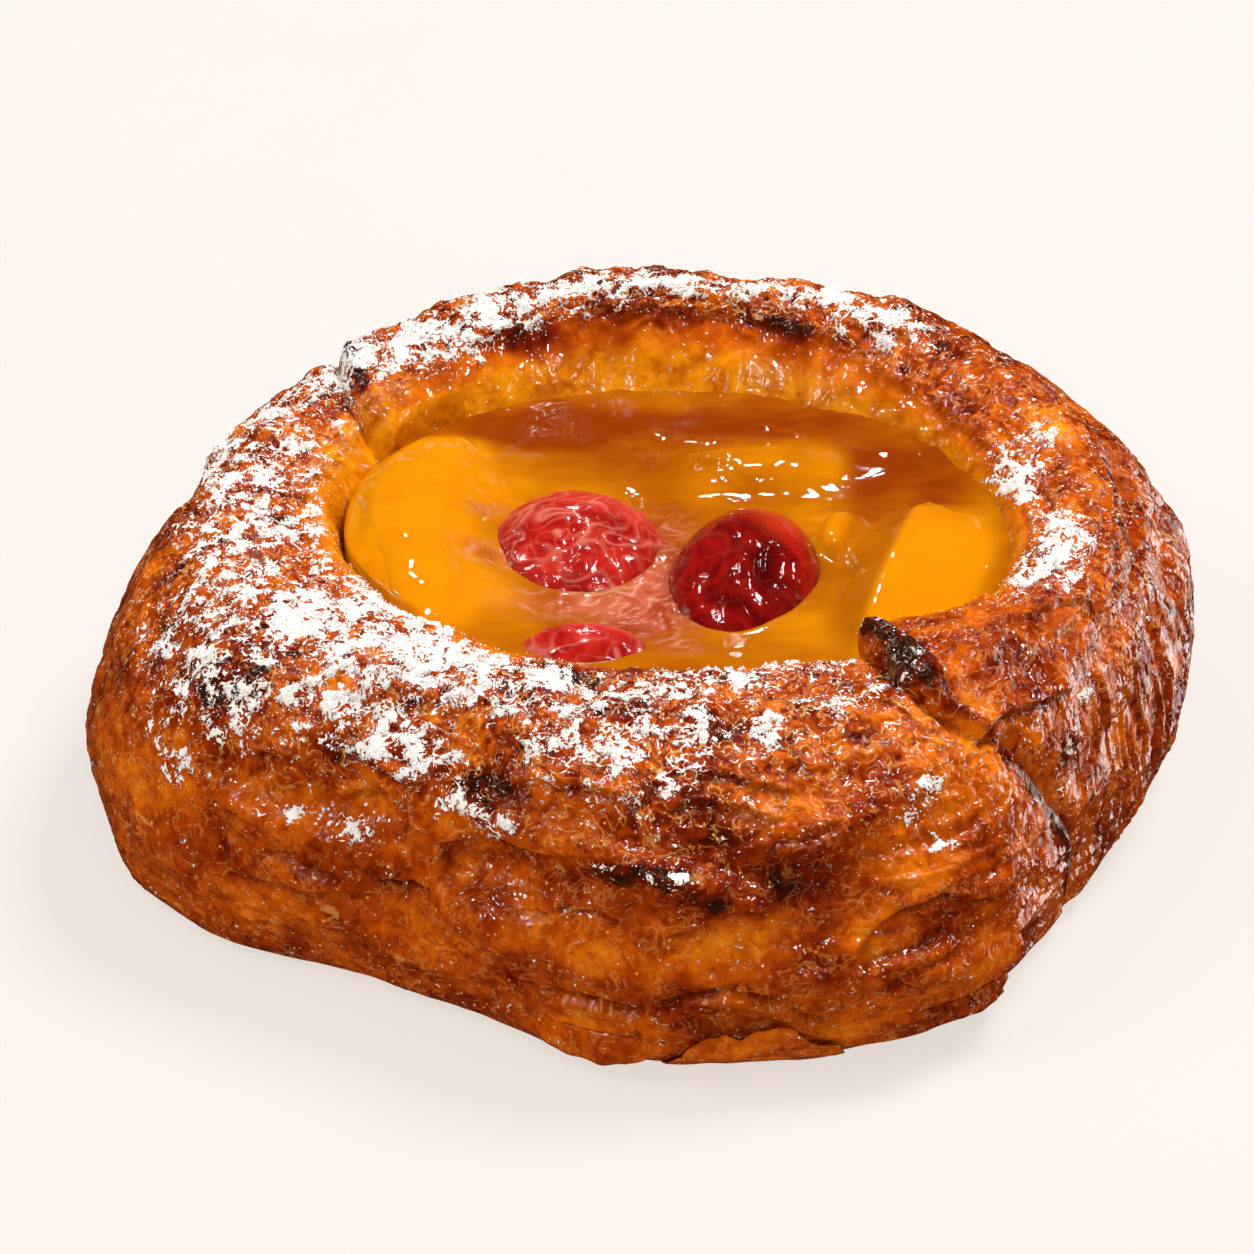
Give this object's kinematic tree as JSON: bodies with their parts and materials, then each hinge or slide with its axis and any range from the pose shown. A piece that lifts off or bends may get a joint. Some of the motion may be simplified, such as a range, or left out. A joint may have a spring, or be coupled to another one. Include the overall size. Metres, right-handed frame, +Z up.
{
  "type": "fruit danish pastry",
  "caption": "Round danish pastry: a folded laminated ring with a jelly-filled well, peach slices and red berries set in the jelly.",
  "frame": {"origin": "middle of the flat foot, where the pastry rests", "axes": "+Z up, -Y the side that faces the viewer, +X to the viewer's right"},
  "size_m": [0.1212, 0.1203, 0.0392],
  "materials": {
    "baked_crust": "egg-washed, browned flaky crust",
    "amber_jelly": "glossy clear jelly",
    "peach_flesh": "wet fruit flesh",
    "berry_skin": "wet berry skin"
  },
  "bodies": {
    "root": {"pastry": "baked_crust", "filling": "amber_jelly", "peach_left": "peach_flesh", "peach_right": "peach_flesh", "peach_back": "peach_flesh", "peach_small": "peach_flesh", "berry_left": "berry_skin", "berry_right": "berry_skin", "berry_front": "berry_skin"}
  },
  "joints": []
}
